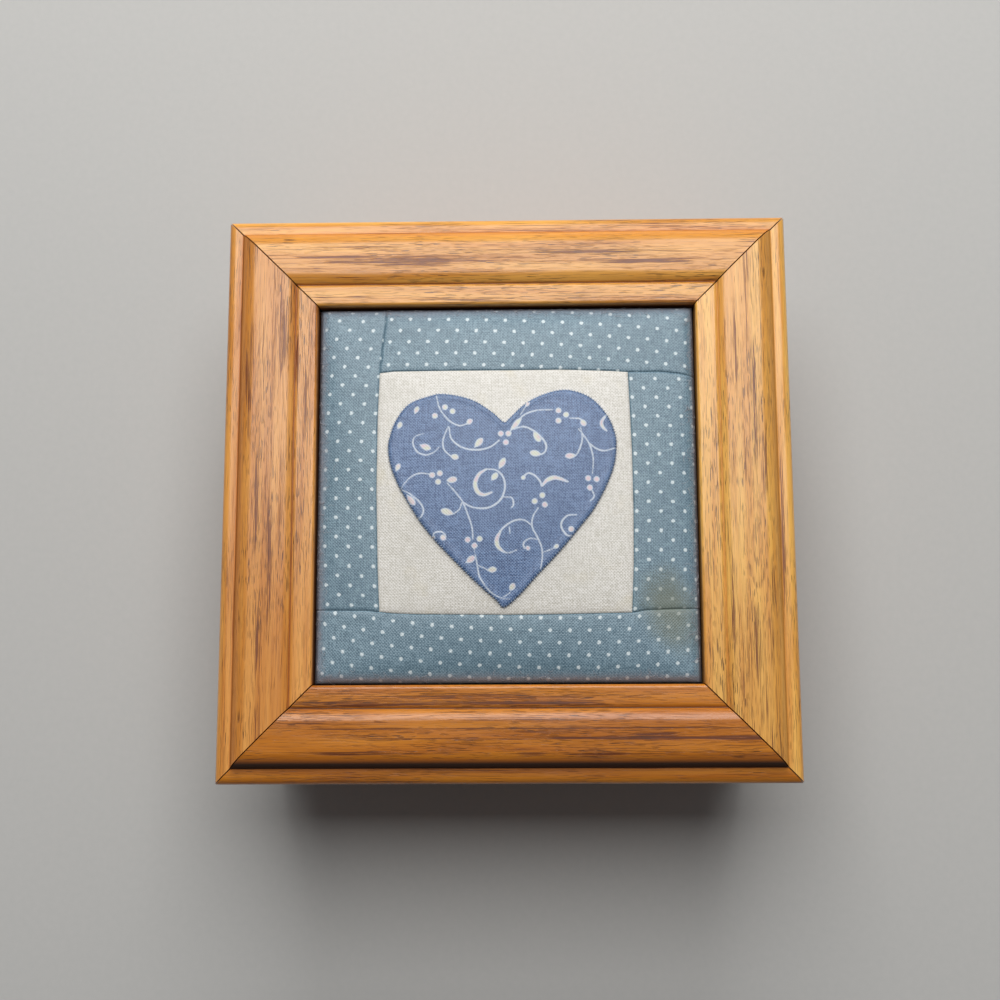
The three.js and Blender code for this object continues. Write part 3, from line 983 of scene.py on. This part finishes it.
def heart_piece():
    """Rings of the outline drawn in to its middle; the outermost ones roll over the turned edge."""
    angle = np.linspace(-np.pi, np.pi, HEART_SPOKES, endpoint=False)

    def rings(share):
        radius = share[:, None] * heart_reach(angle)[None]
        return HEART_MIDDLE[0] + radius * np.cos(angle), HEART_MIDDLE[1] + radius * np.sin(angle)

    share = np.r_[np.linspace(0.012, 0.965, HEART_RINGS - 8), np.linspace(0.971, 1, 8)]
    x, y = rings(share)
    inward = (1 - share[:, None]) * heart_reach(angle)[None]
    rolled = np.clip(inward / TURNED_EDGE, 0, 1)
    fold = HEART_THICK * np.sqrt(np.clip(1 - (1 - rolled) ** 2, 0, 1))
    # A low ridge stands behind the fold, and the stitches dimple it.
    ridge = 0.1 * np.exp(-(((inward - 1.2) / 1.0) ** 2))
    stitch = 0.12 * np.exp(-((inward / 0.5) ** 2)) * np.sin(angle * 240)
    base = cloth_height(x, y)
    top = np.stack([x, y, base + HEART_LIFT + fold + ridge + stitch * rolled], -1)
    x2, y2 = rings(np.array([1.0, 0.93, 0.5, 0.12]))
    lift = np.array([0.16, 0.1, 0.1, 0.1])[:, None]
    under = np.stack([x2, y2, cloth_height(x2, y2) + lift], -1)
    middle = [[*HEART_MIDDLE, top[0, :, 2].mean()], [*HEART_MIDDLE, under[-1, :, 2].mean()]]
    points = np.vstack([top.reshape(-1, 3), under.reshape(-1, 3), middle])
    rows = HEART_RINGS + len(under)
    first = np.arange(HEART_SPOKES)
    last = first + (rows - 1) * HEART_SPOKES
    crown = len(points) - 2
    fans = np.vstack(
        [
            np.stack([first, np.roll(first, -1), np.full(HEART_SPOKES, crown)], 1),
            np.stack([np.roll(last, -1), last, np.full(HEART_SPOKES, crown + 1)], 1),
        ]
    )
    quads = grid(rows, HEART_SPOKES, wrap=True)
    piece = solid("heart_cloth", points, quads[:, ::-1], fans)
    note(piece, "vine", printed_distance(points[:, :2]))
    rim = np.r_[inward.ravel(), np.zeros(under.shape[0] * HEART_SPOKES), [30, 30]]
    note(piece, "inward", rim)
    return piece


def calico(name):
    """Plain cotton dyed blue with the vine left pale, where its distance is below zero.

    The dye creeps at the print's rim, so the distance is shaken by fine noise, and the pale parts
    take a little pink or yellow from place to place.
    """
    cloth = Finish(
        name, Roughness=0.4, Specular_IOR_Level=0.9, Sheen_Weight=0.1, Sheen_Roughness=0.5
    )
    place = cloth.millimetres()
    slub, fuzz, light, relief = plain_weave(
        cloth, place, cloth.parts(place)[:2], 0.4, (3.2, 0.32, 6), (0.45, 0.45, 0.45)
    )
    cloudy = cloth.speckle(place, (12, 12, 12), 2.0)
    tint = cloth.speckle(place, (3, 3, 3), 1.0)
    colour = cloth.blend(light, tone(50, 79, 124), tone(108, 137, 180))
    colour = cloth.blend(cloudy.rise(0.35, 0.75) * 0.2, colour, tone(84, 108, 146))
    vine = cloth.written("vine")
    broken = vine + (fuzz - 0.5) * 0.45 + (slub - 1.0) * 0.12
    inked = 1 - broken.rise(-0.12, 0.12)
    ink = cloth.blend(tint.rise(0.4, 0.6), tone(230, 206, 212), tone(224, 226, 206))
    full = (vine * -1.0).rise(0.14, 0.34)
    ink = cloth.blend(full, tone(214, 224, 236), ink)
    colour = cloth.blend(inked * (0.76 + 0.1 * full), colour, ink)
    # The blue is darker over the rolled rim of the turned edge.
    turned = (1 - (cloth.written("inward") + (fuzz - 0.5) * 0.6).rise(0.0, 0.7)) * 0.3
    colour = cloth.blend(turned, colour, tone(70, 88, 120))
    return cloth.wear(colour, 0.37 + 0.08 * fuzz, relief, 0.08)


heart = heart_piece()
heart.data.materials.append(calico("printed_cotton"))
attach(heart, "root")
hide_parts("heart_applique")


# The hand's marks: the whip stitches that hold the heart's edge, and the loose lint that hangs
# on the cloth where it dives under the frame. Both are thin closed threads.

STITCHES, STITCH_HALF, STITCH_THICK = 236, 0.42, 0.11
LINT, LINT_LONG, LINT_THICK = 520, 2.4, 0.035
THREAD_SIDES = 5
random = np.random.default_rng(41)


def threads(name, lines, thick):
    """Many thin closed tubes: each ring stands square to its line and shrinks at both ends."""
    count, steps = lines.shape[:2]
    heading = np.gradient(lines, axis=1)
    heading /= np.linalg.norm(heading, axis=2, keepdims=True)
    beside = np.cross(heading, [0, 0, 1.0])
    beside /= np.linalg.norm(beside, axis=2, keepdims=True) + 1e-9
    over = np.cross(beside, heading)
    turn = np.linspace(0, 2 * np.pi, THREAD_SIDES, endpoint=False)
    taper = np.sin(np.linspace(0.12, np.pi - 0.12, steps)) ** 0.4 * thick
    ring = (
        beside[:, :, None] * np.cos(turn)[None, None, :, None]
        + over[:, :, None] * np.sin(turn)[None, None, :, None]
    )
    points = lines[:, :, None] + ring * taper[None, :, None, None]
    one = steps * THREAD_SIDES
    first = np.arange(count) * one
    quads = grid(steps, THREAD_SIDES, wrap=True)[None] + first[:, None, None]
    cap = np.arange(THREAD_SIDES)
    starts = cap[None] + first[:, None]
    ends = cap[None, ::-1] + (first + one - THREAD_SIDES)[:, None]
    return solid(name, points.reshape(-1, 3), quads.reshape(-1, 4)[:, ::-1], starts, ends)


def sewing_thread(name, colour, other):
    """Twisted cotton thread: two tones by turns along it."""
    thread = Finish(name, Roughness=0.7, Sheen_Weight=0.2)
    place = thread.millimetres()
    mix = thread.speckle(place, (0.3, 0.3, 0.3), 1.0)
    return thread.wear(thread.blend(mix.rise(0.35, 0.65), colour, other), None, mix, 0.03)


# A stitch runs over the edge from cloth to heart, leaning a little, and rises as it goes.
length = lengths(outline)
at = (np.arange(STITCHES) + 0.3 * random.random(STITCHES)) / STITCHES * length[-1]
edge = np.stack([np.interp(at, length, outline[:, k]) for k in (0, 1)], 1)
ahead = np.stack([np.interp(at + 0.4, length, outline[:, k]) for k in (0, 1)], 1)
way = ahead - edge
way /= np.linalg.norm(way, axis=1, keepdims=True) + 1e-9
inwards = np.array(HEART_MIDDLE) - edge
square = np.stack([-way[:, 1], way[:, 0]], 1)
square *= np.sign((square * inwards).sum(1, keepdims=True))
lean = 0.25 + 0.2 * random.random((STITCHES, 1))
t = np.linspace(-1, 1, 7)[None, :, None]
flat = edge[:, None] + (square + lean * way)[:, None] * (t * STITCH_HALF + 0.12)
arch = 0.32 + 0.34 * np.clip((t[..., 0] + 1) / 2, 0, 1) ** 0.5
lift = cloth_height(flat[..., 0], flat[..., 1]) + arch
stitches = threads(
    "whip_stitches", np.dstack([flat.reshape(STITCHES, -1, 2), lift[..., None]]), STITCH_THICK
)
blue_thread = sewing_thread("blue_thread", tone(120, 140, 168), tone(176, 188, 204))
stitches.data.materials.append(blue_thread)
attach(stitches, "root")

# A thread of lint lies by one side of the opening, curls at random and bows up in its middle.
spot = random.uniform(-CLOTH_HALF + 1, CLOTH_HALF - 1, LINT)
depth = CLOTH_HALF - 0.5 - np.abs(random.normal(0, 1.1, LINT))
wall = random.choice(4, LINT, p=[0.3, 0.3, 0.25, 0.15])  # left, right, back, front
x0 = np.where(wall == 0, -depth, np.where(wall == 1, depth, spot))
y0 = np.where(wall == 2, depth, np.where(wall == 3, -depth, spot))
aim = random.uniform(0, 2 * np.pi, LINT)[:, None]
bend = random.normal(0, 1.3, LINT)[:, None]
t = np.linspace(-0.5, 0.5, 8)[None]
along = t * LINT_LONG * random.uniform(0.4, 1.2, (LINT, 1))
x1 = x0[:, None] + along * np.cos(aim + bend * t)
y1 = y0[:, None] + along * np.sin(aim + bend * t)
x1, y1 = (np.clip(v, -CLOTH_HALF + 0.15, CLOTH_HALF - 0.15) for v in (x1, y1))
z1 = cloth_height(x1, y1) + 0.12 + 0.3 * (1 - 4 * t**2) * random.random((LINT, 1))
lint = threads("lint", np.dstack([x1, y1, z1]), LINT_THICK)
fibre = sewing_thread("lint_fibre", tone(150, 146, 156), tone(198, 196, 200))
lint.data.materials.append(fibre)
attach(lint, "root")


# The studio: a plain pale floor, a broad soft light from the far side and overhead, a lower one
# that gives no reflections, and the photograph's camera, almost straight above the lid.

FLOOR_HALF, FLOOR_DROP, LID_TOP = 1500.0, 0.2, 63.0
x, y = np.meshgrid([-FLOOR_HALF, 0, FLOOR_HALF], [-FLOOR_HALF, 0, FLOOR_HALF])
floor = np.stack([x, y, np.full(x.shape, -FLOOR_DROP)], -1).reshape(-1, 3)
ground = solid("ground", floor, grid(3, 3))
paper = Finish("pale_paper", Roughness=0.85)
grain = paper.speckle(paper.millimetres(), (2, 2, 2), 2.0)
paper_colour = paper.blend(grain, tone(190, 190, 188), tone(196, 195, 193))
ground.data.materials.append(paper.wear(paper_colour))

scene = bpy.context.scene
scene.view_settings.view_transform = "Standard"
scene.view_settings.look = "None"
scene.view_settings.exposure = 0.0
scene.view_settings.gamma = 1.0

WINDOWS = {
    # wide and long in metres, lean from straight above, distance, and glow (a white card is 1)
    "window_above": (1.15, 0.78, 25.3, 1.232, 4.1),
    "window_low": (0.64, 0.7, 65.0, 0.96, 4.6),
}
for name, (wide, long, lean, far, glow) in WINDOWS.items():
    window = bpy.data.lights.new(name, "AREA")
    window.shape = "RECTANGLE"
    window.size, window.size_y = wide, long
    window.energy = glow * math.pi * wide * long
    window.color = (1.0, 0.99, 0.97)
    lamp = bpy.data.objects.new(name, window)
    lean = math.radians(lean)
    lamp.location = (0, far * math.sin(lean), LID_TOP / 1000 + far * math.cos(lean))
    lamp.rotation_euler = (-lean, 0, 0)
    lamp.visible_glossy = name == "window_above"
    scene.collection.objects.link(lamp)

room = bpy.data.worlds.new("room")
room.use_nodes = True
glow_all_round = room.node_tree.nodes["Background"].inputs
glow_all_round["Color"].default_value = (0.92, 0.95, 1.0, 1)
glow_all_round["Strength"].default_value = 0.09
scene.world = room

# The camera's lens, place and turn are fitted to the corners of the lid and of the opening.
camera = bpy.data.objects.new("camera", bpy.data.cameras.new("camera"))
camera.data.lens, camera.data.sensor_width = 50.4, 36.0
camera.data.clip_start, camera.data.clip_end = 0.01, 20.0
camera.location = (0.005604, -0.060741, 0.426707)
camera.rotation_euler = [math.radians(a) for a in (9.0647, 1.19885, -0.20264)]
scene.collection.objects.link(camera)
scene.camera = camera
